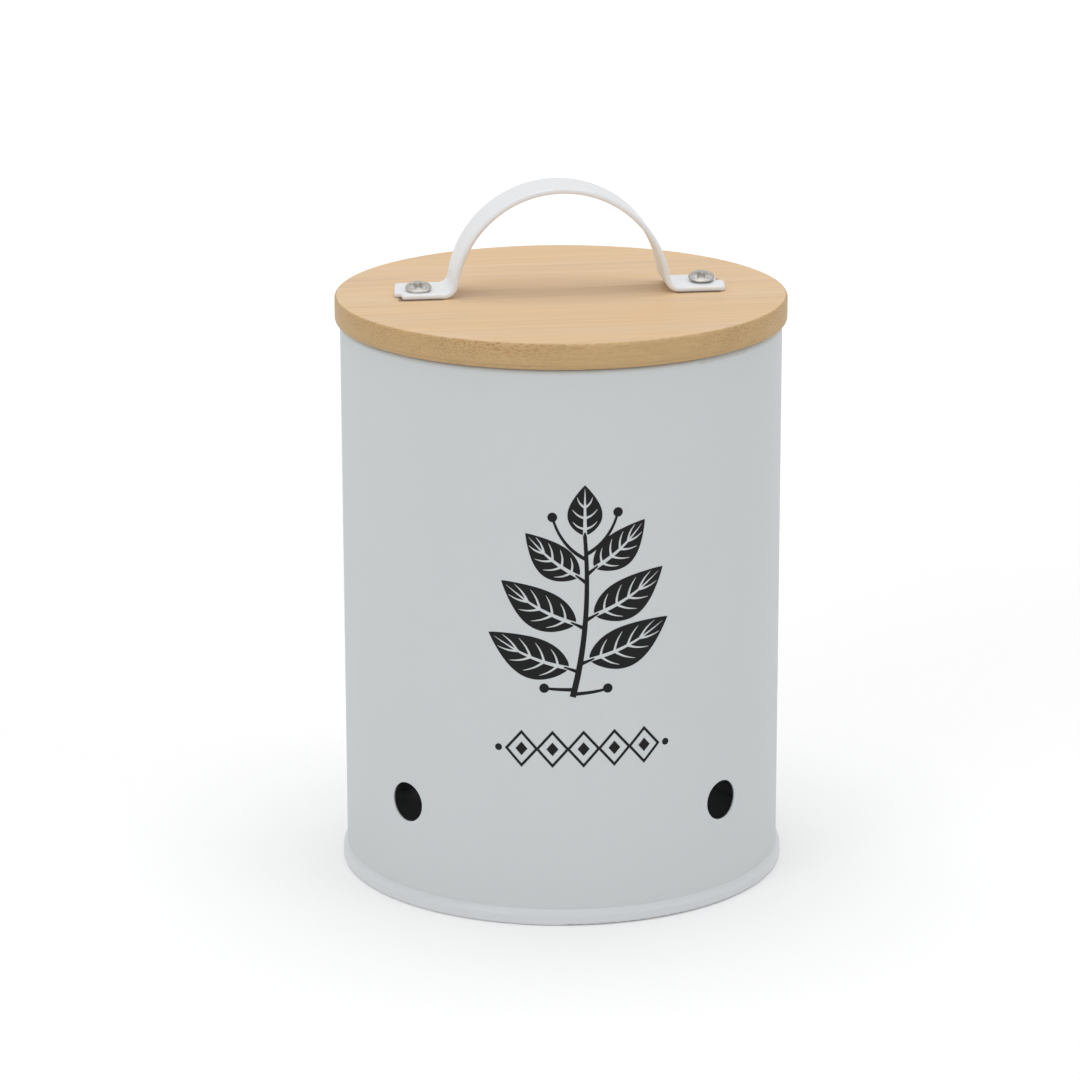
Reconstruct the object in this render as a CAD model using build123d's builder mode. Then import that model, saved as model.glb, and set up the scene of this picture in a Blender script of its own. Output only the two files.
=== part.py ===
from build123d import *
import os
from math import atan, cos, pi, radians, sin, sqrt, tan

# Garlic keeper: a vented tin, a bamboo lid that lifts off, and a strap handle screwed to the lid.
# Millimetres. +Z is up, the origin is the centre of the foot ring on the table, and -Y is the
# middle of the front pair of vents.

# Tin: a rolled wall with its top edge curled inwards
body_diameter = 107.5       # outside of the wall
body_height = 136.75        # table to the top of the curled rim
sheet = 0.4                 # thickness of the tinplate
curl_diameter = 2.6         # outside of the curled rim
curl_turn = 270             # degrees that the edge is rolled through
seam_width = 5.0            # lock seam down the back of the wall
seam_fold = 0.8             # how far its folded layers stand into the tin
seam_line_width = 0.5       # the crease that shows outside
seam_line_depth = 0.15
seam_margin = 1.5           # bare wall between the fold and the rim or the bottom

# Vents: round holes, evenly spaced round the wall
vent_count = 4
vent_diameter = 9.8
vent_height = 25.95         # centre above the table

# Foot: the pressed bottom is seamed round the wall, and the seam is the bead that it stands on
bead_height = 3.7
bead_proud = 1.05           # how far the bead stands out from the wall
bead_floor = 0.8            # layers folded under the wall's edge
bead_shoulder = 2.2         # where the bead begins to round over towards the wall
bead_foot_round = 0.7
panel_recess = 3.0          # underside of the bottom above the table
panel_step = 0.8            # the middle of the bottom is pressed up by this much
panel_step_run = 1.6        # length of the slope up to it
panel_rim = 13.0            # flat ring outside that slope
panel_bend = 0.6            # bends in the bottom, at the middle of the sheet

# Lid: a board that overhangs the wall, on a plug that centres it in the mouth
lid_overhang = 1.25
lid_thickness = 6.4
lid_top_round = 0.8
lid_foot_round = 1.1
lid_turn = 6.3              # degrees that the lid is turned from the tin's front
plug_play = 1.75            # plug to the rim's inner side
plug_height = 9.0
plug_lead = 1.0             # chamfer that guides the plug in

# Seal: a soft ring with two ribs, in a groove round the plug
groove_below = 1.4          # groove under the board
groove_height = 3.2
groove_depth = 2.0
rib_radius = 0.5
rib_spacing = 1.6

# Handle: a flat strap bent to an arch with two feet
strap_width = 14.2
strap_thickness = 1.4
strap_aside = 2.2           # middle of the strap behind the middle of the lid
arch_height = 26.45         # lid to the crown of the arch
arch_span = 52.5            # outside of the legs, where the arch springs from them
arch_aside = -0.3           # middle of the arch from the middle between the screws
leg_straight = 0.9          # leg between its bend and the arch
bend_radius = 2.4           # inside of the bend at each foot
screw_reach = 8.45          # leg to the middle of the screw, along the foot
foot_margin = 5.65          # middle of the screw to the end of the foot
foot_end_skew = 6           # degrees that the ends of the feet are out of square
notch_length = 1.9          # step in one corner of each foot
notch_widths = {"handle_screw_left": 3.3, "handle_screw_right": 7.0}
corner_round = 0.9          # corners of the foot and of the notch
strap_edge = 0.65           # rounding along the strap's edges

# Screws: pan head, cross recess, coarse thread for wood
head_diameter = 6.4
head_height = 2.45
head_crown = 4.8            # radius of the head's top
head_shoulder = 0.6         # round between the top and the side of the head
head_seat_diameter = 5.5    # underside of the head, on the strap
thread_diameter = 3.0
thread_root = 2.2
thread_pitch = 1.25
thread_turns = 5
thread_free = 2.6           # plain length under the head
tip_length = 1.4
tip_radius = 0.25
recess_span = 4.4
recess_slot = 1.25
recess_depth = 1.65
recess_floor = 0.45         # size of the recess at its floor, against its mouth
screw_turns = {"handle_screw_left": 40, "handle_screw_right": 36}  # degrees from the strap
screw_aside = {"handle_screw_left": -2.5, "handle_screw_right": -0.3}  # from the strap's middle
screw_sides = {"handle_screw_left": -1, "handle_screw_right": 1}

# Clearances
seat_gap = 0.2              # board above the curled rim
seal_gap = 0.3              # ribs to the rim's inner side
groove_gap = 0.15           # seal to the walls of its groove
seam_gap = 0.1              # between the wall and the layers of the foot seam
pilot_gap = 0.05            # thread to the hole in the wood
foot_hole_gap = 0.25        # thread to the hole in the strap
pilot_spare = 1.0           # hole below the screw's tip

# Radii and heights that follow
wall_outer = body_diameter / 2
wall_inner = wall_outer - sheet
wall_middle = wall_outer - sheet / 2
curl_radius = curl_diameter / 2
curl_middle_radius = curl_radius - sheet / 2
curl_axis = wall_outer - curl_radius
curl_level = body_height - curl_radius
mouth_radius = wall_outer - curl_diameter
leg_inner = wall_inner - seam_gap - sheet
leg_middle = leg_inner + sheet / 2
bead_outer = wall_outer + bead_proud
bead_lip = wall_outer + seam_gap
panel_level = panel_recess + sheet / 2
step_radius = leg_middle - panel_rim
seam_foot = panel_recess + sheet + seam_margin
seam_top = body_height - curl_diameter - seam_margin

lid_radius = wall_outer + lid_overhang
lid_foot = body_height + seat_gap
lid_top = lid_foot + lid_thickness
plug_radius = mouth_radius - plug_play
plug_foot = lid_foot - plug_height
groove_top = lid_foot - groove_below
groove_level = groove_top - groove_height / 2
seal_inner = plug_radius - groove_depth + groove_gap
seal_height = groove_height - 2 * groove_gap
rib_axis = mouth_radius - seal_gap - rib_radius

# Middle line of the strap, seen from the side: a round arch whose legs run on straight
strap_middle = strap_thickness / 2
crown_level = arch_height - strap_middle
spring_side = arch_span / 2 - strap_middle
spring_level = strap_thickness + bend_radius + leg_straight
leg_lean = pi / 2 - 2 * atan((crown_level - spring_level) / spring_side)
leg_side = spring_side + (spring_level - strap_middle) * tan(leg_lean)
screw_side = leg_side + screw_reach
foot_end = screw_side + foot_margin
end_trim = strap_width * tan(radians(foot_end_skew))
screw_places = [(side * screw_side, screw_aside[name]) for name, side in screw_sides.items()]

thread_length = thread_free + thread_turns * thread_pitch
screw_length = thread_length + tip_length
pilot_depth = screw_length - strap_thickness + pilot_spare
pilot_radius = thread_diameter / 2 + pilot_gap

# Side of a screw's head, which is a round shoulder between the head's top and its side
head_radius = head_diameter / 2
head_seat = head_seat_diameter / 2
crown_centre = head_height - head_crown
shoulder_side = head_radius - head_shoulder
shoulder_rise = sqrt((head_crown - head_shoulder) ** 2 - shoulder_side**2)
head_skirt = crown_centre + shoulder_rise
crown_share = head_crown / (head_crown - head_shoulder)
crown_rim = (shoulder_side * crown_share, crown_centre + shoulder_rise * crown_share)


def strap_plane(level):
    """Level plane that is turned with the lid, with its origin in the middle of the strap."""
    turn = radians(lid_turn)
    return Plane(
        origin=(-strap_aside * sin(turn), strap_aside * cos(turn), level),
        x_dir=(cos(turn), sin(turn), 0),
    )


def upright_strap_plane(level):
    """Plane down the middle of the strap, with its own y axis up."""
    level_plane = strap_plane(level)
    return Plane(origin=level_plane.origin, x_dir=level_plane.x_dir, z_dir=-level_plane.y_dir)


# Wall: its middle line goes up and rolls inwards into the curl
with BuildPart() as body_shell:
    with BuildSketch(Plane.XZ):
        with BuildLine():
            Line((wall_middle, bead_floor), (wall_middle, curl_level))
            CenterArc((curl_axis, curl_level), curl_middle_radius, 0, curl_turn)
        trace(line_width=sheet)
    revolve(axis=Axis.Z)
    # folded layers of the lock seam, inside at the back
    with BuildSketch(Plane.XY.offset(seam_foot)):
        Circle(wall_middle)
        Circle(wall_inner - seam_fold, mode=Mode.SUBTRACT)
        with Locations((0, wall_inner)):
            Rectangle(seam_width, wall_inner, mode=Mode.INTERSECT)
    extrude(amount=seam_top - seam_foot)
    # crease of the lock seam, outside at the back
    with BuildSketch(Plane.XY.offset(bead_height)):
        with Locations((-seam_width / 2, wall_outer)):
            Rectangle(seam_line_width, 2 * seam_line_depth)
    extrude(amount=curl_level - bead_height, mode=Mode.SUBTRACT)
    with Locations((0, 0, vent_height)):
        with PolarLocations(0, vent_count, start_angle=180 / vent_count - 90):
            Cylinder(
                vent_diameter / 2,
                wall_outer + sheet,
                rotation=(0, 90, 0),
                align=(Align.CENTER, Align.CENTER, Align.MIN),
                mode=Mode.SUBTRACT,
            )

# Bottom: a pressed sheet whose edge is folded round the wall's lower edge
with BuildPart() as base_disc:
    with BuildSketch(Plane.XZ):
        with BuildLine():
            FilletPolyline(
                (0, panel_level + panel_step),
                (step_radius - panel_step_run, panel_level + panel_step),
                (step_radius, panel_level),
                (leg_middle, panel_level),
                (leg_middle, bead_floor / 2),
                radius=panel_bend,
            )
        trace(line_width=sheet)
    revolve(axis=Axis.Z)
    with BuildSketch(Plane.XZ) as bead_section:
        with BuildLine():
            TangentArc((bead_outer, bead_shoulder), (bead_lip, bead_height), tangent=(0, 1))
            Polyline(
                (bead_lip, bead_height),
                (bead_lip, bead_floor),
                (leg_inner, bead_floor),
                (leg_inner, 0),
                (bead_outer, 0),
                (bead_outer, bead_shoulder),
            )
        make_face()
        foot_corners = bead_section.vertices().group_by(Axis.Y)[0].sort_by(Axis.X)
        fillet(foot_corners[-1], radius=bead_foot_round)
    revolve(axis=Axis.Z)

# Board: rounded at both edges, drilled for the handle's screws
with BuildPart() as lid_board:
    with BuildSketch(Plane.XY.offset(lid_foot)):
        Circle(lid_radius)
    extrude(amount=lid_thickness)
    board_edges = lid_board.edges().sort_by(Axis.Z)
    fillet(board_edges[-1], radius=lid_top_round)
    fillet(board_edges[0], radius=lid_foot_round)
    with BuildSketch(strap_plane(lid_top)):
        with Locations(*screw_places):
            Circle(pilot_radius)
    extrude(amount=-min(pilot_depth, lid_thickness), mode=Mode.SUBTRACT)

# Plug: glued under the board, grooved for the seal, with the lower ends of the screw holes
with BuildPart() as lid_plug:
    with BuildSketch(Plane.XY.offset(plug_foot)):
        Circle(plug_radius)
    extrude(amount=plug_height)
    chamfer(lid_plug.edges().sort_by(Axis.Z)[0], length=plug_lead)
    with BuildSketch(Plane.XY.offset(groove_top)):
        Circle(plug_radius)
        Circle(plug_radius - groove_depth, mode=Mode.SUBTRACT)
    extrude(amount=-groove_height, mode=Mode.SUBTRACT)
    if pilot_depth > lid_thickness:
        with BuildSketch(strap_plane(lid_foot)):
            with Locations(*screw_places):
                Circle(pilot_radius)
        extrude(amount=lid_thickness - pilot_depth, mode=Mode.SUBTRACT)

# Seal: its inner band sits in the groove, and its two ribs reach towards the rim
with BuildPart() as lid_seal:
    with BuildSketch(Plane.XZ):
        with Locations((seal_inner, groove_level)):
            Rectangle(rib_axis - seal_inner, seal_height, align=(Align.MIN, Align.CENTER))
        with Locations((rib_axis, groove_level)):
            with GridLocations(0, rib_spacing, 1, 2):
                Circle(rib_radius)
    revolve(axis=Axis.Z)

# Handle: the strap's middle line is given the strap's thickness, then its width
with BuildPart() as handle:
    with BuildSketch(upright_strap_plane(lid_top)):
        with BuildLine():
            for side in (-1, 1):
                FilletPolyline(
                    (side * (foot_end + end_trim), strap_middle),
                    (arch_aside + side * leg_side, strap_middle),
                    (arch_aside + side * spring_side, spring_level),
                    radius=bend_radius + strap_middle,
                )
            ThreePointArc(
                (arch_aside - spring_side, spring_level),
                (arch_aside, crown_level),
                (arch_aside + spring_side, spring_level),
            )
        trace(line_width=strap_thickness)
    extrude(amount=strap_width / 2, both=True)
    # the ends are cut askew, and stepped in the near corner on the left and the far one on the right
    with BuildSketch(strap_plane(lid_top)):
        for screw_name, side in screw_sides.items():
            with Locations(Location((side * foot_end, 0, 0), (0, 0, -foot_end_skew))):
                with Locations((side * end_trim, 0)):
                    Rectangle(2 * end_trim, 2 * strap_width)
                with Locations((0, side * strap_width / 2)):
                    Rectangle(2 * notch_length, 2 * notch_widths[screw_name])
    extrude(amount=strap_thickness, mode=Mode.SUBTRACT)
    upright_edges = handle.edges().filter_by(Axis.Z).filter_by(
        lambda edge: edge.center().Z < lid_top + strap_thickness
    )
    fillet(upright_edges, radius=corner_round)
    # every edge is rounded but those straight across the strap, where two faces run on smoothly
    across = strap_plane(0).y_dir
    rims = handle.edges().filter_by(
        lambda edge: max(abs(edge.tangent_at(0.5).Z), abs(edge.tangent_at(0.5).dot(across))) < 0.999
    )
    fillet(rims, radius=strap_edge)
    with BuildSketch(strap_plane(lid_top)):
        with Locations(*screw_places):
            Circle(thread_diameter / 2 + foot_hole_gap)
    extrude(amount=strap_thickness, mode=Mode.SUBTRACT)


def screw_side_points():
    """Points down the side of a screw, from its head's seat to the axis at its tip."""
    crest = thread_diameter / 2
    root = thread_root / 2
    points = [(head_seat, 0), (root, 0), (root, -thread_free)]
    for turn in range(thread_turns):
        ridge = -thread_free - turn * thread_pitch
        points.append((crest, ridge - thread_pitch / 2))
        points.append((root, ridge - thread_pitch))
    points.append((tip_radius, -screw_length))
    points.append((0, -screw_length))
    return points


pieces = {
    "body_shell": body_shell,
    "base_disc": base_disc,
    "lid_board": lid_board,
    "lid_plug": lid_plug,
    "lid_seal": lid_seal,
    "handle": handle,
}

# Screws: a pan head on the strap, with ridges for a thread that bites in the wood
for screw_name, side in screw_sides.items():
    seat_plane = strap_plane(lid_top + strap_thickness)
    screw_seat = seat_plane.from_local_coords((side * screw_side, screw_aside[screw_name], 0))
    with BuildPart() as handle_screw:
        with BuildSketch(Plane(origin=screw_seat, x_dir=(1, 0, 0), z_dir=(0, -1, 0))):
            with BuildLine():
                Polyline(*screw_side_points())
                Line((0, -screw_length), (0, head_height))
                TangentArc((head_radius, head_skirt), (head_seat, 0), tangent=(0, -1))
                TangentArc((head_radius, head_skirt), crown_rim, tangent=(0, 1))
                TangentArc((0, head_height), crown_rim, tangent=(1, 0))
            make_face()
        revolve(axis=Axis(screw_seat, (0, 0, 1)))
        # cross recess: two tapering slots that cross at the middle of the head
        recess_angle = lid_turn + screw_turns[screw_name]
        for level, share in ((head_height, 1), (head_height - recess_depth, recess_floor)):
            with BuildSketch(Plane(screw_seat).offset(level).rotated((0, 0, recess_angle))):
                Rectangle(recess_span * share, recess_slot * share)
                Rectangle(recess_slot * share, recess_span * share)
        loft(ruled=True, mode=Mode.SUBTRACT)
    pieces[screw_name] = handle_screw

os.makedirs("parts", exist_ok=True)
for name, piece in pieces.items():
    piece.part.label = name
    export_step(piece.part, f"parts/{name}.step")
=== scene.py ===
"""Looks of a garlic keeper: a vented white tin with a print, a bamboo lid and a strap handle.

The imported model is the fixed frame. Lengths are metres in that frame, where +Z is up and -Y is the
middle of the tin's front. Names that end in _mm are millimetres, and so are the sizes of the
print's outlines and of the screws.
"""

import logging
import math
from dataclasses import dataclass, field, replace
from enum import Enum, IntEnum
from functools import cached_property
from typing import Sequence

import bmesh
import bpy
from bmesh.types import BMesh, BMFace, BMVert
from bpy.types import Material, Mesh, Node, NodeSocket, NodeTree, Object
from mathutils import Matrix, Vector
from mathutils.geometry import delaunay_2d_cdt


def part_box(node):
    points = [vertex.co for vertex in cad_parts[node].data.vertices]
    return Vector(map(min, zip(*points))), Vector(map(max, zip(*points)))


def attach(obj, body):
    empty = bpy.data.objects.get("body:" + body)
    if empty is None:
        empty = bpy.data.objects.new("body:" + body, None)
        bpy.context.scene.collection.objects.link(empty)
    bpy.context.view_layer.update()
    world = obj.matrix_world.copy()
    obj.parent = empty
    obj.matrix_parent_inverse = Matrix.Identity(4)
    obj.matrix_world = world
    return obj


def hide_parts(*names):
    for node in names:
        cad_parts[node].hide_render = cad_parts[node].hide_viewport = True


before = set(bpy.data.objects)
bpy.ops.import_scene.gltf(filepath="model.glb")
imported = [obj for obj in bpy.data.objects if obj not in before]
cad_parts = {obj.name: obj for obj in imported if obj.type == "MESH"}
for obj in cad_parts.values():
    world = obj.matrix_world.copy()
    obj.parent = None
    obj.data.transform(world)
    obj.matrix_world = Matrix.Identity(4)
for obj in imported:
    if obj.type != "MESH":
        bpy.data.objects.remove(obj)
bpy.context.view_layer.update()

MM = 0.001
BEAD_HEIGHT_MM = 3.7
BEAD_SHOULDER_MM = 2.2
BEAD_GAP_MM = 0.1
STRAP_THICK_MM = 1.4
STRAP_TURN_DEG = 6.3
STRAP_ASIDE_MM = 2.2
FOOT_MIDDLE_MM = 33.8
FOOT_HALF_MM = (4.9, 7.1)
FOOT_END_SKEW = 0.105

Triple = tuple[float, float, float]
Point = tuple[float, float]
Outline = list[Point]
WHITE: Triple = (1.0, 1.0, 1.0)
CORNER_GAP = 1e-7  # corners of the print closer than this are one
PLANE_GAP = 1e-8  # and corners this close to a cut lie on it
DOT_CORNERS = 28

log = logging.getLogger("garlic_keeper")


# ---- Shader graphs ----


class Kind(Enum):
    """Socket types of a node group."""

    NUMBER = "NodeSocketFloat"
    COLOUR = "NodeSocketColor"


class Graph:
    """Adds nodes to one shader tree and joins them."""

    def __init__(self, tree: NodeTree) -> None:
        """Empties a tree and works on it."""
        self.tree = tree
        tree.nodes.clear()

    def feed(self, socket: NodeSocket, value: object) -> None:
        """Links a socket to an input, or sets the input's own value.

        Args:
            socket: the input that is fed.
            value: an output socket, or a plain value, where a colour needs no alpha.
        """
        if isinstance(value, NodeSocket):
            self.tree.links.new(value, socket)
        elif socket.type == "RGBA":
            socket.default_value = (*value[:3], 1.0)
        else:
            socket.default_value = value

    def node(self, kind: str, inputs: dict | None = None, **settings: object) -> Node:
        """Adds a node.

        Args:
            kind: the node's Blender type.
            inputs: values or sockets by input name or index.
            **settings: properties of the node itself.

        Returns:
            The new node.
        """
        made = self.tree.nodes.new(kind)
        for name, value in settings.items():
            setattr(made, name, value)
        for name, value in (inputs or {}).items():
            self.feed(made.inputs[name], value)
        return made

    def maths(self, operation: str, *values: object) -> NodeSocket:
        """Adds a Math node and returns its value."""
        inputs = dict(enumerate(values))
        return self.node("ShaderNodeMath", inputs, operation=operation).outputs[0]

    def times(self, first: object, second: object) -> NodeSocket:
        """Multiplies two numbers."""
        return self.maths("MULTIPLY", first, second)

    def minus(self, first: object, second: object) -> NodeSocket:
        """Takes the second number from the first."""
        return self.maths("SUBTRACT", first, second)

    def linear(self, value: object, slope: object, start: object) -> NodeSocket:
        """Returns slope * value + start."""
        return self.maths("MULTIPLY_ADD", value, slope, start)

    def spread(self, noise: NodeSocket, amount: object) -> NodeSocket:
        """Turns a noise of 0 to 1 into a factor of 1 - amount to 1 + amount."""
        return self.linear(self.linear(noise, 2.0, -1.0), amount, 1.0)

    def step(self, value: object, start: object, end: object) -> NodeSocket:
        """Adds a smooth step.

        Args:
            value: the number that the step follows.
            start: where the step is still 0.
            end: where it has come to 1, above or below start.

        Returns:
            A number from 0 to 1.
        """
        inputs = {"Value": value, "From Min": start, "From Max": end}
        kind = "ShaderNodeMapRange"
        return self.node(kind, inputs, interpolation_type="SMOOTHSTEP").outputs[0]

    def between(self, factor: object, low: object, high: object) -> NodeSocket:
        """Number from low at a factor of 0 to high at 1."""
        inputs = {"Value": factor, "To Min": low, "To Max": high}
        return self.node("ShaderNodeMapRange", inputs).outputs[0]

    def scaled(self, vector: object, factor: object) -> NodeSocket:
        """Multiplies a vector or colour by a number."""
        inputs = {0: vector, "Scale": factor}
        return self.node("ShaderNodeVectorMath", inputs, operation="SCALE").outputs[0]

    def length(self, vector: object) -> NodeSocket:
        """Length of a vector."""
        made = self.node("ShaderNodeVectorMath", {0: vector}, operation="LENGTH")
        return made.outputs["Value"]

    def parts(self, vector: object) -> Sequence[NodeSocket]:
        """The three parts of a vector."""
        return tuple(self.node("ShaderNodeSeparateXYZ", {0: vector}).outputs)

    def joined(self, *parts: object) -> NodeSocket:
        """Vector of up to three parts."""
        return self.node("ShaderNodeCombineXYZ", dict(enumerate(parts))).outputs[0]

    def mixed(self, factor: object, first: object, second: object) -> NodeSocket:
        """Mixes two colours."""
        inputs = {0: factor, 6: first, 7: second}
        return self.node("ShaderNodeMix", inputs, data_type="RGBA").outputs[2]

    def noise(self, vector: object, detail: float = 2.0, rough: float = 0.5) -> NodeSocket:
        """Adds a noise texture at scale 1 and returns its value."""
        inputs = {"Vector": vector, "Scale": 1.0, "Detail": detail, "Roughness": rough}
        return self.node("ShaderNodeTexNoise", inputs).outputs[0]

    def cells(self, vector: object, dimensions: str = "3D") -> NodeSocket:
        """Measures how far it is to the middle of the nearest cell of size 1.

        Args:
            vector: the place.
            dimensions: how many parts of the place count.

        Returns:
            The distance.
        """
        inputs = {"Vector": vector, "Scale": 1.0}
        made = self.node("ShaderNodeTexVoronoi", inputs, voronoi_dimensions=dimensions)
        return made.outputs["Distance"]

    def place_mm(self) -> NodeSocket:
        """The point on the piece, in millimetres of the shared frame."""
        return self.scaled(self.node("ShaderNodeTexCoord").outputs["Object"], 1000.0)

    def turned_mm(self, angle: object) -> NodeSocket:
        """The point on the piece in axes that are turned about the upright one by -angle."""
        inputs = {"Vector": self.place_mm(), "Angle": angle}
        return self.node("ShaderNodeVectorRotate", inputs, rotation_type="Z_AXIS").outputs[0]

    def group(self, tree: NodeTree, inputs: dict) -> Sequence[NodeSocket]:
        """Places a node group with its own values and returns its outputs."""
        return self.node("ShaderNodeGroup", inputs, node_tree=tree).outputs

    def bump(self, height: NodeSocket, depth_mm: float, strength: float = 1.0) -> NodeSocket:
        """Adds a Bump node.

        Args:
            height: the relief, about 0 to 1.
            depth_mm: how deep the relief is.
            strength: share of the relief that shows.

        Returns:
            The bumped normal.
        """
        inputs = {"Strength": strength, "Distance": depth_mm * MM, "Height": height}
        return self.node("ShaderNodeBump", inputs).outputs[0]


class EffectGroup:
    """A shader node group that several materials share, built once."""

    name = ""
    inputs: tuple[tuple[str, Kind, object], ...] = ()
    outputs: tuple[tuple[str, Kind], ...] = ()

    def __init__(self) -> None:
        """Makes the group's sockets and fills it."""
        self.tree = bpy.data.node_groups.new(self.name, "ShaderNodeTree")
        add, graph = self.tree.interface.new_socket, Graph(self.tree)
        for name, kind, default in self.inputs:
            add(name=name, in_out="INPUT", socket_type=kind.value).default_value = default
        for name, kind in self.outputs:
            add(name=name, in_out="OUTPUT", socket_type=kind.value)
        given = graph.node("NodeGroupInput").outputs
        graph.node("NodeGroupOutput", self.build(graph, given))

    def build(self, graph: Graph, given: object) -> dict[str, NodeSocket]:
        """Fills the group.

        Args:
            graph: the group's own graph.
            given: the sockets of the group's inputs, by name.

        Returns:
            The socket for each output.
        """
        raise NotImplementedError


class SprayedPeel(EffectGroup):
    """The gentle ripple of a sprayed coat, with a finer grit on it."""

    name = "sprayed_peel"
    inputs = (
        ("Ripple mm", Kind.NUMBER, 1.4),
        ("Grit mm", Kind.NUMBER, 0.25),
        ("Grit Share", Kind.NUMBER, 0.2),
    )
    outputs = (("Height", Kind.NUMBER),)

    def build(self, graph: Graph, given: object) -> dict[str, NodeSocket]:
        """Adds a slow and a fast noise.

        Args:
            graph: the group's own graph.
            given: the sockets of the group's inputs, by name.

        Returns:
            The socket for each output.
        """
        place = graph.place_mm()
        ripple, grit = (
            graph.noise(graph.scaled(place, graph.maths("DIVIDE", 1.0, given[size])), detail)
            for size, detail in (("Ripple mm", 1.0), ("Grit mm", 2.0))
        )
        return {"Height": graph.linear(grit, given["Grit Share"], ripple)}


class Handling(EffectGroup):
    """Faint clouding, dust and finger smudges on a finished surface."""

    name = "handling"
    inputs = (
        ("Colour", Kind.COLOUR, (0.5, 0.5, 0.5, 1.0)),
        ("Cloud mm", Kind.NUMBER, 30.0),
        ("Cloud Amount", Kind.NUMBER, 0.01),
        ("Dust Amount", Kind.NUMBER, 0.02),
        ("Roughness", Kind.NUMBER, 0.4),
        ("Smudge Amount", Kind.NUMBER, 0.1),
    )
    outputs = (("Colour", Kind.COLOUR), ("Roughness", Kind.NUMBER))
    smudges_per_cloud = 2.7
    specks_per_mm = 0.38
    speck_edge = (0.075, 0.03)

    def build(self, graph: Graph, given: object) -> dict[str, NodeSocket]:
        """Clouds the colour, dots it with dust and smudges the gloss.

        Args:
            graph: the group's own graph.
            given: the sockets of the group's inputs, by name.

        Returns:
            The socket for each output.
        """
        place = graph.place_mm()
        cloud_scale = graph.maths("DIVIDE", 1.0, given["Cloud mm"])
        smudge_scale = graph.times(cloud_scale, self.smudges_per_cloud)
        cloud = graph.noise(graph.scaled(place, cloud_scale), detail=3.0)
        smudge = graph.noise(graph.scaled(place, smudge_scale), detail=4.0, rough=0.6)
        speck = graph.cells(graph.scaled(place, self.specks_per_mm))
        dust = graph.times(graph.step(speck, *self.speck_edge), given["Dust Amount"])
        tone = graph.times(graph.spread(cloud, given["Cloud Amount"]), graph.minus(1.0, dust))
        gloss = graph.spread(smudge, given["Smudge Amount"])
        return {
            "Colour": graph.scaled(given["Colour"], tone),
            "Roughness": graph.times(given["Roughness"], gloss),
        }


@dataclass(frozen=True)
class FibreNoise:
    """A noise in bamboo: its changes per millimetre along the fibres, across them and up."""

    along: float
    across: float
    up: float
    detail: float = 1.0
    rough: float = 0.5

    def draw(self, graph: Graph, *place: NodeSocket) -> NodeSocket:
        """Draws the noise at a place.

        Args:
            graph: the graph that it is added to.
            *place: how far along the fibres, across them and up.

        Returns:
            The noise, from 0 to 1.
        """
        scales = (self.along, self.across, self.up)
        parts = [graph.times(axis, scale) for axis, scale in zip(place, scales)]
        return graph.noise(graph.joined(*parts), self.detail, self.rough)


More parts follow.
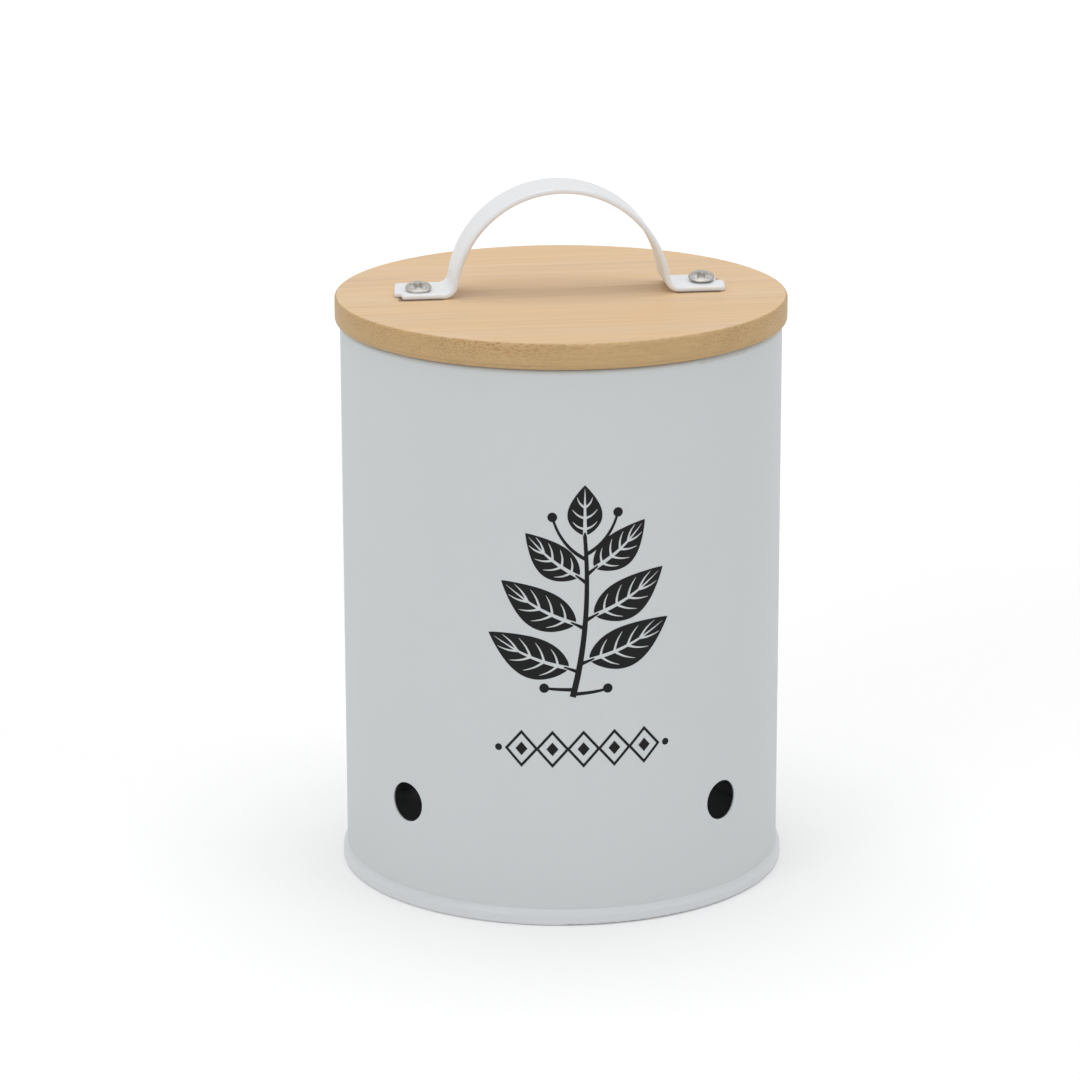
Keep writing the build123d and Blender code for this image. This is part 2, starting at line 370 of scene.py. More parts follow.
class BambooGrain(EffectGroup):
    """Laminated bamboo as a solid: strips side by side, with fibre bundles that run along them.

    A face along the strips shows the bundles as fine streaks, and a face across them shows dots.
    The bundles are denser near the skin side of the strips, which is up.
    """

    name = "bamboo_grain"
    inputs = (
        ("Pale", Kind.COLOUR, (0.76, 0.53, 0.32, 1.0)),
        ("Honey", Kind.COLOUR, (0.74, 0.49, 0.27, 1.0)),
        ("Streak", Kind.COLOUR, (0.45, 0.28, 0.14, 1.0)),
        ("Cut", Kind.COLOUR, (0.51, 0.34, 0.16, 1.0)),
        ("Turn", Kind.NUMBER, 0.0),
        ("Strip mm", Kind.NUMBER, 17.0),
        ("Bundle mm", Kind.NUMBER, 0.6),
        ("Streak Amount", Kind.NUMBER, 0.2),
        ("Dot Amount", Kind.NUMBER, 0.6),
        ("Skin Level mm", Kind.NUMBER, 143.0),
        ("Layer mm", Kind.NUMBER, 6.4),
        ("Rim mm", Kind.NUMBER, 55.0),
    )
    outputs = (("Colour", Kind.COLOUR), ("Roughness", Kind.NUMBER), ("Height", Kind.NUMBER))

    drifting = FibreNoise(0.011, 0.05, 0.0)
    gaps = FibreNoise(0.035, 3.7, 0.0)
    wander = FibreNoise(0.03, 0.12, 0.12)
    crossing = FibreNoise(0.21, 0.21, 0.4)
    patches = FibreNoise(0.02, 0.11, 0.2, detail=2.0)
    fine = FibreNoise(0.022, 1.9, 1.9, detail=4.0, rough=0.62)
    broad = FibreNoise(0.006, 0.16, 0.2, detail=2.0)
    ribbon = FibreNoise(0.012, 0.34, 0.75, detail=2.5)
    vein = FibreNoise(0.016, 0.40, 0.9)

    # steps in millimetres: the sanded rim, and how far in and down its lower edge is rounded
    rim_band = (0.62, 0.30)
    edge_inward = (2.4, 1.9)
    edge_down = (1.5, 2.2)
    # glue joints: where the first one is, their width with its spread, and where they show
    first_joint_mm = -3.9
    joint_start_mm = (0.2, 0.25)
    joint_end_mm = 0.04
    joint_shows = (0.3, 0.62)
    joint_shade = 0.13
    joint_dip = 0.5
    # fibres: how far they wander, and how far the pattern shifts from strip to strip
    drift_mm = 6.0
    wander_mm = 2.2
    shift_mm = 90.0
    # bundles: the skin side as a share of the layer, then slopes and starts over its density
    row_pitch = 0.85
    skin_side = (0.9, 0.05)
    bundle_edge = (0.14, 0.30)
    bundle_core = 0.12
    bundle_strength = (0.3, 0.15)
    bundle_dip = 0.4
    patch_shows = (0.25, 0.7)
    patch_share = 0.7
    plain_middle_mm = 8.0
    plain_reach = (10.0, 26.0)
    plain_share = 0.28
    # colour and gloss
    vein_shows = (0.57, 0.72)
    honey_shows = (0.35, 0.65)
    fine_tone, broad_tone, ribbon_tone, strip_tone = 0.115, 0.07, 0.075, 0.02
    gloss = (0.14, 0.42)

    def cut_face(
        self, graph: Graph, given: object, place: NodeSocket, depth: NodeSocket
    ) -> NodeSocket:
        """Mask of the sawn and sanded rim, which is darker than the faces along the strips.

        Args:
            graph: the group's own graph.
            given: the group's inputs.
            place: the point, in the strips' axes.
            depth: how far the point is below the skin.

        Returns:
            1 on the rim and on its rounded lower edge.
        """
        flat = {0: place, 1: (1.0, 1.0, 0.0)}
        level = graph.node("ShaderNodeVectorMath", flat, operation="MULTIPLY").outputs[0]
        inward = graph.minus(given["Rim mm"], graph.length(level))
        edge = graph.times(
            graph.step(inward, *self.edge_inward), graph.step(depth, *self.edge_down)
        )
        return graph.maths("MAXIMUM", graph.step(inward, *self.rim_band), edge)

    def build(self, graph: Graph, given: object) -> dict[str, NodeSocket]:
        """Draws strips, their joints, bundles and fine streaks.

        Args:
            graph: the group's own graph.
            given: the sockets of the group's inputs, by name.

        Returns:
            The socket for each output.
        """
        place = graph.turned_mm(graph.times(given["Turn"], -1.0))
        along, across, up = graph.parts(place)
        below_skin = graph.minus(given["Skin Level mm"], up)
        cut = self.cut_face(graph, given, place, below_skin)
        uncut = graph.minus(1.0, cut)

        # fibres wander a little sideways along the strip
        drift = graph.linear(self.drifting.draw(graph, along, across, up), self.drift_mm, across)

        # strips and their glue joints stay straight, and the joints come and go on their way
        offset = graph.minus(across, self.first_joint_mm)
        strips = graph.maths("DIVIDE", offset, given["Strip mm"])
        strip = graph.maths("FLOOR", strips)
        tint = graph.node("ShaderNodeTexWhiteNoise", {"W": strip}, noise_dimensions="1D").outputs[0]
        inside = graph.minus(strips, strip)
        edge = graph.maths("MINIMUM", inside, graph.minus(1.0, inside))
        width = graph.linear(tint, *self.joint_start_mm)
        joint = graph.step(graph.times(edge, given["Strip mm"]), width, self.joint_end_mm)
        shifted = graph.linear(tint, self.shift_mm, along)
        shows = graph.step(self.gaps.draw(graph, shifted, strip, up), *self.joint_shows)
        joint = graph.times(graph.times(joint, shows), uncut)

        def drawn(noise: FibreNoise) -> NodeSocket:
            """Draws a noise that follows the fibres and differs from strip to strip."""
            return noise.draw(graph, shifted, drift, up)

        # bundles: a pattern across the strips that hardly changes along them
        side = graph.linear(drawn(self.wander), self.wander_mm, drift)
        side = graph.linear(graph.times(drawn(self.crossing), cut), self.wander_mm, side)
        thin = graph.maths("DIVIDE", 1.0, given["Bundle mm"])
        row = graph.times(up, graph.times(thin, self.row_pitch))
        found = graph.cells(graph.joined(graph.times(side, thin), row), "2D")
        level = graph.maths("DIVIDE", below_skin, given["Layer mm"])
        density = graph.step(level, *self.skin_side)
        bundle = graph.step(found, graph.linear(density, *self.bundle_edge), self.bundle_core)
        patch = graph.step(drawn(self.patches), *self.patch_shows)
        least = graph.linear(density, *self.bundle_strength)
        strength = graph.linear(patch, self.patch_share, least)
        bundle = graph.times(bundle, strength)

        # the rim shows few dots where it runs along the fibres, near the middle of the front
        off_middle = graph.maths("ABSOLUTE", graph.minus(along, self.plain_middle_mm))
        ends = graph.step(off_middle, *self.plain_reach)
        ends = graph.linear(ends, 1.0 - self.plain_share, self.plain_share)
        bundle = graph.times(bundle, graph.between(cut, 1.0, ends))

        fine, broad, ribbon = drawn(self.fine), drawn(self.broad), drawn(self.ribbon)
        vein = graph.step(drawn(self.vein), *self.vein_shows)
        vein = graph.times(vein, given["Streak Amount"])
        amount = graph.between(cut, given["Streak Amount"], given["Dot Amount"])
        honey = graph.step(broad, *self.honey_shows)
        face = graph.mixed(honey, given["Pale"], given["Honey"])
        wood = graph.mixed(cut, face, given["Cut"])
        wood = graph.mixed(graph.times(vein, uncut), wood, given["Streak"])
        wood = graph.mixed(graph.times(bundle, amount), wood, given["Streak"])
        tone = graph.linear(joint, -self.joint_shade, 1.0)
        spreads = (self.fine_tone, self.broad_tone, self.ribbon_tone, self.strip_tone)
        for noise, spread in zip((fine, broad, ribbon, tint), spreads):
            tone = graph.times(tone, graph.spread(noise, spread))
        relief = graph.linear(bundle, -self.bundle_dip, fine)
        return {
            "Colour": graph.scaled(wood, tone),
            "Roughness": graph.linear(fine, *self.gloss),
            "Height": graph.linear(joint, -self.joint_dip, relief),
        }


class Effects:
    """Every shared node group."""

    def __init__(self) -> None:
        """Builds the groups."""
        self.peel = SprayedPeel().tree
        self.handling = Handling().tree
        self.bamboo = BambooGrain().tree


# ---- Finishes ----


def new_material(name: str) -> tuple[Material, Graph]:
    """Makes an empty material and the graph that fills it.

    Args:
        name: the material's name.

    Returns:
        The material and its graph.
    """
    material = bpy.data.materials.new(name)
    material.use_nodes = True
    return material, Graph(material.node_tree)


def end_surface(graph: Graph, inputs: dict) -> None:
    """Ends a material with a Principled surface.

    Args:
        graph: the material's graph.
        inputs: sockets and uniform values of the surface's own inputs.
    """
    principled = graph.node("ShaderNodeBsdfPrincipled", inputs)
    graph.node("ShaderNodeOutputMaterial", {"Surface": principled.outputs[0]})


@dataclass(frozen=True)
class Coat:
    """A finish with a gentle relief that has been handled a little."""

    name: str
    colour: Triple
    roughness: float
    ripple_mm: float = 1.6
    grit_mm: float = 0.22
    grit_share: float = 0.18
    depth_mm: float = 0.012
    relief: float = 1.0
    cloud_mm: float = 34.0
    cloud: float = 0.012
    dust: float = 0.03
    smudge: float = 0.12

    def tinted(self, graph: Graph, colour: NodeSocket) -> NodeSocket:
        """Changes the handled colour, which most coats leave as it is."""
        return colour

    def settings(self) -> dict[str, object]:
        """Uniform values of the surface."""
        return {}

    def material(self, effects: Effects) -> Material:
        """Builds the material from the shared groups.

        Args:
            effects: the shared node groups.

        Returns:
            The material.
        """
        material, graph = new_material(self.name)
        handled = {
            "Colour": self.colour,
            "Cloud mm": self.cloud_mm,
            "Cloud Amount": self.cloud,
            "Dust Amount": self.dust,
            "Roughness": self.roughness,
            "Smudge Amount": self.smudge,
        }
        handling = graph.group(effects.handling, handled)
        sizes = {
            "Ripple mm": self.ripple_mm,
            "Grit mm": self.grit_mm,
            "Grit Share": self.grit_share,
        }
        peel = graph.group(effects.peel, sizes)
        inputs = {
            "Base Color": self.tinted(graph, handling["Colour"]),
            "Roughness": handling["Roughness"],
            "Normal": graph.bump(peel["Height"], self.depth_mm, self.relief),
        }
        end_surface(graph, inputs | self.settings())
        return material


@dataclass(frozen=True)
class SprayedPaint(Coat):
    """A satin sprayed coat on metal, or a print over it, with a round painted shadow if it has one.
    """

    specular: float = 0.5
    # a round painted shadow, darkest in its core: where it is, its radius in millimetres, its core's
    # share and how dark it gets
    painted_shadow: Triple | None = None
    shadow_mm: float = 3.3
    shadow_core: float = 0.6
    shadow_depth: float = 0.62

    def tinted(self, graph: Graph, colour: NodeSocket) -> NodeSocket:
        """Darkens the round painted shadow.

        Args:
            graph: the material's graph.
            colour: the handled colour.

        Returns:
            The colour with the painted shadow, if there is one.
        """
        if not self.painted_shadow:
            return colour
        inputs = {0: graph.place_mm(), 1: self.painted_shadow}
        off = graph.node("ShaderNodeVectorMath", inputs, operation="DISTANCE").outputs["Value"]
        dark = graph.step(off, self.shadow_mm, self.shadow_mm * self.shadow_core)
        return graph.scaled(colour, graph.linear(dark, -self.shadow_depth, 1.0))

    def settings(self) -> dict[str, object]:
        """Uniform values of the paint."""
        return {"IOR": 1.5, "Specular IOR Level": self.specular}


@dataclass(frozen=True)
class MilkySilicone(Coat):
    """Soft translucent rubber with a moulded skin."""

    ripple_mm: float = 0.5
    grit_mm: float = 0.12
    grit_share: float = 0.3
    depth_mm: float = 0.015
    cloud_mm: float = 12.0
    cloud: float = 0.03
    dust: float = 0.12
    smudge: float = 0.2

    def settings(self) -> dict[str, object]:
        """Uniform values of the rubber.

        Returns:
            The values, by the surface's own inputs.
        """
        return {
            "IOR": 1.41,
            "Subsurface Weight": 0.5,
            "Subsurface Radius": (1.0, 0.9, 0.8),
            "Subsurface Scale": 1.2 * MM,
        }


@dataclass(frozen=True)
class ZincPlate(Coat):
    """Bright zinc plate on a screw, dulled and dimpled by tumbling."""

    ripple_mm: float = 0.7
    grit_mm: float = 0.09
    grit_share: float = 0.35
    depth_mm: float = 0.02
    relief: float = 0.8
    cloud_mm: float = 1.1
    cloud: float = 0.10
    dust: float = 0.25
    smudge: float = 0.35

    def settings(self) -> dict[str, object]:
        """Uniform values of the metal."""
        return {"Metallic": 1.0}


@dataclass(frozen=True)
class OiledBamboo:
    """Sanded and oiled laminated bamboo, with the faint line that a router left, painted shade on
    the rounded edge below that line and, where set, painted shade round the handle's feet.
    """

    name: str
    pale: Triple
    honey: Triple
    streak: Triple
    cut: Triple
    bundle_mm: float
    streak_amount: float
    dot_amount: float
    skin_level_mm: float
    layer_mm: float
    rim_mm: float
    router_line_mm: float
    turn_deg: float = 8.0
    strip_mm: float = 17.0
    line_half_mm: Point = (0.26, 0.06)
    # painted shade on the lower edge: it starts this far below the router line and is full this far
    # below it; line_depth darkens both the line and this shade
    lip_drop_mm: Point = (0.2, 0.8)
    line_depth: float = 0.13
    relief_mm: float = 0.03
    relief: float = 0.6
    # painted shade round the handle's feet: whether it is drawn, its colour, its share and how far
    # from the feet it reaches, in millimetres
    paints_foot_shade: bool = False
    painted_foot_shade: Triple = (0.15, 0.075, 0.03)
    foot_shade_share: float = 0.8
    foot_shade_mm: Point = (1.15, 0.1)

    def foot_shade_mask(self, graph: Graph) -> NodeSocket:
        """Painted shade in the corner round the handle's feet: a dark brown band on the board that
        hugs their outline.

        Args:
            graph: the material's graph.

        Returns:
            1 against a foot and 0 away from it.
        """
        split = graph.parts(graph.turned_mm(-math.radians(STRAP_TURN_DEG)))
        aside = graph.minus(split[1], STRAP_ASIDE_MM)
        along = graph.maths("ABSOLUTE", graph.linear(aside, -FOOT_END_SKEW, split[0]))
        beside = graph.maths("ABSOLUTE", graph.minus(along, FOOT_MIDDLE_MM))
        reaches = zip((beside, graph.maths("ABSOLUTE", aside)), FOOT_HALF_MM)
        past = [graph.maths("MAXIMUM", graph.minus(far, half), 0.0) for far, half in reaches]
        return graph.step(graph.length(graph.joined(*past)), *self.foot_shade_mm)

    def material(self, effects: Effects) -> Material:
        """Builds the material from the shared groups.

        Args:
            effects: the shared node groups.

        Returns:
            The material.
        """
        material, graph = new_material(self.name)
        inputs = {
            "Pale": self.pale,
            "Honey": self.honey,
            "Streak": self.streak,
            "Cut": self.cut,
            "Turn": math.radians(self.turn_deg),
            "Strip mm": self.strip_mm,
            "Bundle mm": self.bundle_mm,
            "Streak Amount": self.streak_amount,
            "Dot Amount": self.dot_amount,
            "Skin Level mm": self.skin_level_mm,
            "Layer mm": self.layer_mm,
            "Rim mm": self.rim_mm,
        }
        grain = graph.group(effects.bamboo, inputs)
        level = graph.parts(graph.place_mm())[2]
        off_line = graph.maths("ABSOLUTE", graph.minus(level, self.router_line_mm))
        line = graph.step(off_line, *self.line_half_mm)
        # painted shade on the rounded edge below the router line
        lip = graph.step(level, *(self.router_line_mm - drop for drop in self.lip_drop_mm))
        shade = graph.linear(graph.maths("MAXIMUM", line, lip), -self.line_depth, 1.0)
        colour = graph.scaled(grain["Colour"], shade)
        # painted shade round the handle's feet, mixed over the wood
        if self.paints_foot_shade:
            painted_foot_shade = graph.times(self.foot_shade_mask(graph), self.foot_shade_share)
            colour = graph.mixed(painted_foot_shade, colour, self.painted_foot_shade)
        surface = {
            "Base Color": colour,
            "Roughness": grain["Roughness"],
            "Normal": graph.bump(grain["Height"], self.relief_mm, self.relief),
            "IOR": 1.45,
            "Specular IOR Level": 0.3,
        }
        end_surface(graph, surface)
        return material


TIN_PAINT = SprayedPaint("tin_paint_satin", (0.628, 0.657, 0.668), 0.52, specular=0.12)
# The bottom's paint is glossier than the wall's, and its lighter colour is painted light on the
# bead's rounded top.
LIGHTENED_BOTTOM_PAINT = SprayedPaint("bottom_paint_lightened_satin", (0.68, 0.70, 0.715), 0.34)
STRAP_PAINT = SprayedPaint(
    "strap_paint_satin", (0.80, 0.81, 0.825), 0.38, ripple_mm=1.1, depth_mm=0.016
)
PRINT_INK = SprayedPaint(
    name="print_ink_black",
    colour=(0.0105, 0.0108, 0.011),
    roughness=0.5,
    cloud_mm=9.0,
    cloud=0.12,
    dust=-0.4,
    smudge=0.1,
    specular=0.16,
)
BOARD_BAMBOO = OiledBamboo(
    name="board_bamboo_oiled",
    pale=(0.765, 0.556, 0.350),
    honey=(0.750, 0.522, 0.300),
    streak=(0.44, 0.235, 0.095),
    cut=(0.553, 0.373, 0.182),
    bundle_mm=0.47,
    streak_amount=0.14,
    dot_amount=1.0,
    skin_level_mm=143.35,
    layer_mm=6.4,
    rim_mm=55.0,
    router_line_mm=138.0,
    paints_foot_shade=True,
)
PLUG_BAMBOO = OiledBamboo(
    name="plug_bamboo_oiled",
    pale=(0.74, 0.525, 0.32),
    honey=(0.72, 0.49, 0.275),
    streak=(0.42, 0.225, 0.09),
    cut=(0.49, 0.33, 0.155),
    bundle_mm=0.62,
    streak_amount=0.2,
    dot_amount=0.5,
    skin_level_mm=136.95,
    layer_mm=9.0,
    rim_mm=49.4,
    router_line_mm=128.95,
)
SEAL_SILICONE = MilkySilicone("seal_silicone_milky", (0.74, 0.74, 0.72), 0.38)
SCREW_ZINC = ZincPlate("screw_zinc_plain", (0.53, 0.515, 0.49), 0.45)
# darker, rougher zinc: painted shade in the back of the recess and under the head
SHADE_ZINC = ZincPlate("screw_zinc_painted_shade", (0.50, 0.475, 0.435), 0.55)
# light zinc: painted highlight on the recess walls in front of the axis
HIGHLIGHT_ZINC = ZincPlate("screw_zinc_painted_highlight", (0.84, 0.84, 0.83), 0.38)


# ---- Pieces ----


def dress(node_name: str, material: Material) -> None:
    """Gives a CAD node its finish.

    Args:
        node_name: the node.
        material: the finish, put in every slot of the node.
    """
    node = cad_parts[node_name]
    for slot in node.material_slots:
        slot.link = "OBJECT"
        slot.material = material
    low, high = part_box(node_name)
    size = " x ".join(f"{edge / MM:.1f}" for edge in high - low)
    log.info("%s: dressed with %s, %s mm", node_name, material.name, size)


def revolved(name: str, section_mm: Sequence[Point], segments: int) -> Mesh:
    """Turns a closed section about the upright axis.

    Args:
        name: the mesh's name.
        section_mm: radius and height of each corner, anticlockwise.
        segments: number of steps round.

    Returns:
        The closed mesh.
    """
    ring = bmesh.new()
    rows = []
    for number in range(segments):
        turn = math.tau * number / segments
        c, s = math.cos(turn), math.sin(turn)
        rows.append([ring.verts.new((r * c * MM, r * s * MM, z * MM)) for r, z in section_mm])
    count = len(section_mm)
    for number, row in enumerate(rows):
        after = rows[(number + 1) % segments]
        for corner in range(count):
            following = (corner + 1) % count
            ring.faces.new([row[corner], after[corner], after[following], row[following]])
    bmesh.ops.recalc_face_normals(ring, faces=ring.faces)
    return new_mesh(name, ring)


def add_piece(name: str, mesh: Mesh, material: Material, body: str) -> Object:
    """Puts a new piece in the scene, riding on its body.

    Args:
        name: the piece's name.
        mesh: its shape, in the shared frame.
        material: its finish.
        body: the body that it moves with.

    Returns:
        The new object.
    """
    mesh.materials.append(material)
    piece = bpy.data.objects.new(name, mesh)
    bpy.context.scene.collection.objects.link(piece)
    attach(piece, body)
    log.info("%s: %d faces, on %s", name, len(mesh.polygons), body)
    return piece


def bend_point(start: Point, middle: Point, end: Point, share: float) -> Point:
    """Point on a smooth bend that leaves start for the middle and comes from there to end.

    Args:
        start: where the bend starts.
        middle: the corner that it rounds off.
        end: where it ends.
        share: 0 at its start and 1 at its end.

    Returns:
        The point.
    """
    a, b, c = (1 - share) ** 2, 2 * share * (1 - share), share**2
    x, y = (a * p + b * q + c * r for p, q, r in zip(start, middle, end))
    return (x, y)


def shares(steps: int) -> list[float]:
    """Evenly spaced numbers from 0 to 1, both included."""
    return [number / steps for number in range(steps + 1)]


def new_mesh(name: str, shape: BMesh, crease_deg: float | None = None) -> Mesh:
    """Ends a shape as a smooth mesh.

    Args:
        name: the mesh's name.
        shape: the shape, which is freed.
        crease_deg: edges sharper than this stay sharp.

    Returns:
        The mesh.
    """
    mesh = bpy.data.meshes.new(name)
    shape.to_mesh(mesh)
    shape.free()
    mesh.shade_smooth()
    if crease_deg:
        mesh.set_sharp_from_angle(angle=math.radians(crease_deg))
    return mesh


@dataclass
class Tin:
    """The rolled wall and the pressed bottom, seamed together; the bottom and the paint in the
    seam's corner take a lighter, glossier copy of the wall's paint, whose lighter colour is painted
    light on the bead.
    """

    paint: SprayedPaint = TIN_PAINT
    bottom_paint: SprayedPaint = LIGHTENED_BOTTOM_PAINT
    fillet_rise_mm: float = 0.22
    fillet_reach_mm: float = 0.34
    fillet_corner_mm: Point = (0.05, 0.03)
    fillet_steps: int = 8
    sunk_mm: float = 0.2
    segments: int = 240

    def seam_fillet(self) -> list[Point]:
        """Section of the paint that fills the corner between the wall and the bead.

        Returns:
            Its corners, from the wall out to the bead and back inside both.
        """
        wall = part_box("body_shell")[1].x / MM
        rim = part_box("base_disc")[1].x / MM
        ledge, rise = rim - wall - BEAD_GAP_MM, BEAD_HEIGHT_MM - BEAD_SHOULDER_MM
        bead_round = (ledge**2 + rise**2) / (2 * ledge)
        reach = wall + self.fillet_reach_mm
        landing = BEAD_SHOULDER_MM + math.sqrt(bead_round**2 - (reach - rim + bead_round) ** 2)
        start = (wall, BEAD_HEIGHT_MM + self.fillet_rise_mm)
        aside, above = self.fillet_corner_mm
        corner = (wall + aside, BEAD_HEIGHT_MM + above)
        ends = (start, corner, (reach, landing))
        section = [bend_point(*ends, share) for share in shares(self.fillet_steps)]
        section.append((reach - aside, landing - self.sunk_mm))
        section.append((wall - self.sunk_mm, landing - self.sunk_mm))
        section.append((wall - self.sunk_mm, start[1]))
        return section

    def build(self, effects: Effects) -> None:
        """Paints both nodes, which keep their own shapes, and fills the corner of the seam.

        Args:
            effects: the shared node groups.
        """
        # the bottom and the seam's fillet take the lighter copy of the paint: painted light on the
        # bead
        lightened_bottom_material = self.bottom_paint.material(effects)
        dress("body_shell", self.paint.material(effects))
        dress("base_disc", lightened_bottom_material)
        fillet = revolved("seam_lacquer", self.seam_fillet(), self.segments)
        add_piece("seam_lacquer", fillet, lightened_bottom_material, "tin")


def counter_clockwise(outline: Outline) -> Outline:
    """Puts an outline in counter-clockwise order.

    Args:
        outline: an outline in either order.

    Returns:
        The outline, its corners the other way round if they ran clockwise.
    """
    following = outline[1:] + outline[:1]
    area = sum(x0 * y1 - x1 * y0 for (x0, y0), (x1, y1) in zip(outline, following))
    return outline if area > 0 else outline[::-1]


def turned(outline: Outline, angle_deg: float, about: Point = (0.0, 0.0)) -> Outline:
    """Turns an outline about the origin and then moves it.

    Args:
        outline: the outline.
        angle_deg: counter-clockwise turn.
        about: where the origin goes.

    Returns:
        The turned and moved outline.
    """
    c, s = math.cos(math.radians(angle_deg)), math.sin(math.radians(angle_deg))
    return [(about[0] + c * x - s * y, about[1] + s * x + c * y) for x, y in outline]


@dataclass(frozen=True)
class Patch:
    """An outline that is inked, or left bare where it lies on earlier patches."""

    outline: Outline
    inked: bool = True


@dataclass
class WallPrint:
    """A thin film of ink, cut to flat outlines in millimetres and wrapped round the wall."""

    name: str
    patches: Sequence[Patch]
    middle_mm: float
    turn_deg: float
    proud: float = 0.03 * MM
    sunk: float = 0.05 * MM
    strip: float = 1.0 * MM
    crease_deg: float = 40.0

    def flat_mesh(self) -> BMesh:
        """Fills the patches, the last one on top, and cuts the film in upright strips.

        Returns:
            The flat film, whose x runs round the wall and whose y is up, in metres.
        """
        points: list[Vector] = []
        faces: list[list[int]] = []
        for patch in self.patches:
            start = len(points)
            points += [Vector((x * MM, y * MM)) for x, y in counter_clockwise(list(patch.outline))]
            faces.append(list(range(start, len(points))))
        corners, _, triangles, _, _, sources = delaunay_2d_cdt(
            points, [], faces, 1, CORNER_GAP, True
        )
        film = bmesh.new()
        made = [film.verts.new((x, y, 0.0)) for x, y in corners]
        for triangle, source in zip(triangles, sources):
            if source and self.patches[max(source)].inked:
                film.faces.new([made[i] for i in triangle])
        bmesh.ops.delete(film, geom=[v for v in film.verts if not v.link_faces], context="VERTS")
        across = [v.co.x / self.strip for v in film.verts]
        for number in range(math.floor(min(across)) + 1, math.ceil(max(across))):
            bmesh.ops.bisect_plane(
                film,
                geom=[*film.verts, *film.edges, *film.faces],
                plane_co=(number * self.strip, 0.0, 0.0),
                plane_no=(1.0, 0.0, 0.0),
                dist=PLANE_GAP,
            )
        return film

    def wrapped(self, film: BMesh, wall_radius: float) -> Mesh:
        """Gives the flat film its thickness and wraps it round the wall.

        Args:
            film: the flat film.
            wall_radius: outside of the wall.

        Returns:
            The closed mesh.
        """
        film.normal_update()
        for face in film.faces:
            if face.normal.z < 0:
                face.normal_flip()
        wrap = bmesh.new()

        def layer(radius: float) -> dict[BMVert, BMVert]:
            """Puts the corners of the film round the wall.

            Args:
                radius: distance from the axis.

            Returns:
                The new corner for each corner of the film.
            """
            made = {}
            for corner in film.verts:
                x, y, _ = corner.co
                angle = math.radians(self.turn_deg) + x / wall_radius
                ahead = -radius * math.cos(angle)
                place = (radius * math.sin(angle), ahead, self.middle_mm * MM + y)
                made[corner] = wrap.verts.new(place)
            return made

        outer, inner = layer(wall_radius + self.proud), layer(wall_radius - self.sunk)
        for face in film.faces:
            wrap.faces.new([outer[v] for v in face.verts])
            wrap.faces.new([inner[v] for v in reversed(face.verts)])
        for edge in film.edges:
            if edge.is_boundary:
                loop = edge.link_loops[0]
                first, second = loop.vert, loop.link_loop_next.vert
                wrap.faces.new([outer[second], outer[first], inner[first], inner[second]])
        film.free()
        return new_mesh(self.name, wrap, self.crease_deg)

    def build(self, material: Material) -> None:
        """Makes the film and lets it ride on the tin."""
        mesh = self.wrapped(self.flat_mesh(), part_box("body_shell")[1].x)
        add_piece(self.name, mesh, material, "tin")


@dataclass(frozen=True)
class Leaf:
    """One leaf of the sprig: where it grows, how it points and its size in millimetres."""

    stem_share: float
    angle_deg: float
    length: float
    width: float
    stalk: float = 2.4
    vein_pairs: int = 4
    bow_share: float = 0.055
    belly: float = 0.80
    fullness: float = 0.88
    taper: float = 0.10
    least_half: float = 0.03
    midrib_reach: Point = (-0.03, 0.93)
    midrib_width: float = 0.95
    vein_width: float = 0.55
    vein_bend: float = 0.35
    vein_reach: float = 0.76
    vein_foot: Point = (0.13, 0.64)
    vein_rise: Point = (0.15, 0.03)
    tip_half: float = 0.04
    line_taper: float = 0.7
    edge_steps: int = 34
    line_steps: int = 8

    def midrib(self, share: float) -> Point:
        """Point on the middle of the leaf, which bows a little away from the stem."""
        bow = math.copysign(self.bow_share, self.angle_deg) * self.length if self.angle_deg else 0.0
        return (-bow * math.sin(math.pi * share), self.stalk + self.length * share)

    def half_width(self, share: float) -> float:
        """Half of the leaf's width, from its base at 0 to its tip at 1."""
        swell = math.sin(math.pi * share**self.belly) ** self.fullness
        return self.width / 2 * swell * (1 - self.taper * share)

    def blade(self) -> Outline:
        """Draws the whole blade.

        Returns:
            The outline, up its right side and down its left one.
        """
        left, right = [], []
        for share in shares(self.edge_steps):
            x, y = self.midrib(share)
            half = max(self.half_width(share), self.least_half)
            left.append((x - half, y))
            right.append((x + half, y))
        return right + left[::-1]

    def sliver(self, start: Point, end: Point, width: float, bend: float) -> Outline:
        """A thin bare line that tapers from its start to a point.

        Args:
            start: its wide end.
            end: its pointed end.
            width: at the wide end.
            bend: how far its middle is pushed sideways.

        Returns:
            The line's outline.
        """
        run = Vector(end) - Vector(start)
        side = Vector((-run.y, run.x)).normalized()
        near, far = [], []
        for share in shares(self.line_steps):
            middle = Vector(start) + run * share + side * bend * math.sin(math.pi * share)
            half = width / 2 * (1 - share) ** self.line_taper + self.tip_half
            near.append(tuple(middle - side * half))
            far.append(tuple(middle + side * half))
        return near + far[::-1]

    def veins(self) -> list[Outline]:
        """Draws the bare lines of the midrib and the side veins.

        Returns:
            An outline for each line.
        """
        foot, top = (self.midrib(share) for share in self.midrib_reach)
        bow = (foot[0] + top[0]) / 2 - self.midrib(0.5)[0]
        lines = [self.sliver(foot, top, self.midrib_width, bow)]
        for number in range(self.vein_pairs):
            share = self.vein_foot[0] + self.vein_foot[1] * number / self.vein_pairs
            end_share = share + self.vein_rise[0] + self.vein_rise[1] * number
            reach = self.half_width(end_share) * self.vein_reach
            x, y = self.midrib(end_share)
            for side in (-1, 1):
                end, bend = (x + side * reach, y), -side * self.vein_bend
                lines.append(self.sliver(self.midrib(share), end, self.vein_width, bend))
        return lines


